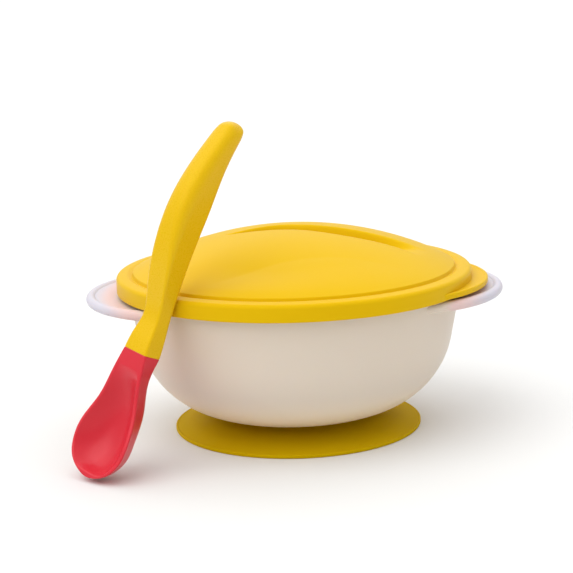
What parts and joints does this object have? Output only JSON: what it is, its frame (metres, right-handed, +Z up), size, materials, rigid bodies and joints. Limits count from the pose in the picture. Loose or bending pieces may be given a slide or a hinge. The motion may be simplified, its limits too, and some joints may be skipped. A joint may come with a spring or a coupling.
{
  "type": "suction bowl",
  "caption": "Round lidded feeding bowl with two ears on a soft suction cup, and a soft-tipped spoon that stands leaning on the lid.",
  "frame": {"origin": "centre of the suction cup's lip, on the table", "axes": "+Z up the bowl's axis; X through the two ears, with the lid's lift tab at +X; the spoon stands at -X -Y"},
  "size_m": [0.16, 0.1388, 0.1237],
  "materials": {
    "cup_rubber": "satin soft thermoplastic elastomer, translucent at its thin lip",
    "bowl_plastic": "satin moulded polypropylene, ivory white",
    "yellow_plastic": "satin moulded polypropylene, warm yellow",
    "tip_rubber": "satin soft thermoplastic elastomer, coral red"
  },
  "bodies": {
    "base": {"suction_cup": "cup_rubber"},
    "bowl_body": {"bowl": "bowl_plastic"},
    "lid_body": {"lid": "yellow_plastic"},
    "spoon": {"spoon_handle": "yellow_plastic", "spoon_tip": "tip_rubber"}
  },
  "joints": [
    {"name": "bowl_lift", "type": "slide", "parent": "base", "child": "bowl_body", "axis": [0, 0, 1], "range_m": [0, 0.03]},
    {"name": "lid_lift", "type": "slide", "parent": "bowl_body", "child": "lid_body", "axis": [0, 0, 1], "range_m": [0, 0.08]},
    {"name": "spoon_lift", "type": "slide", "parent": "lid_body", "child": "spoon", "axis": [-0.33, -0.376, 0.8659], "range_m": [0, 0.06]}
  ]
}
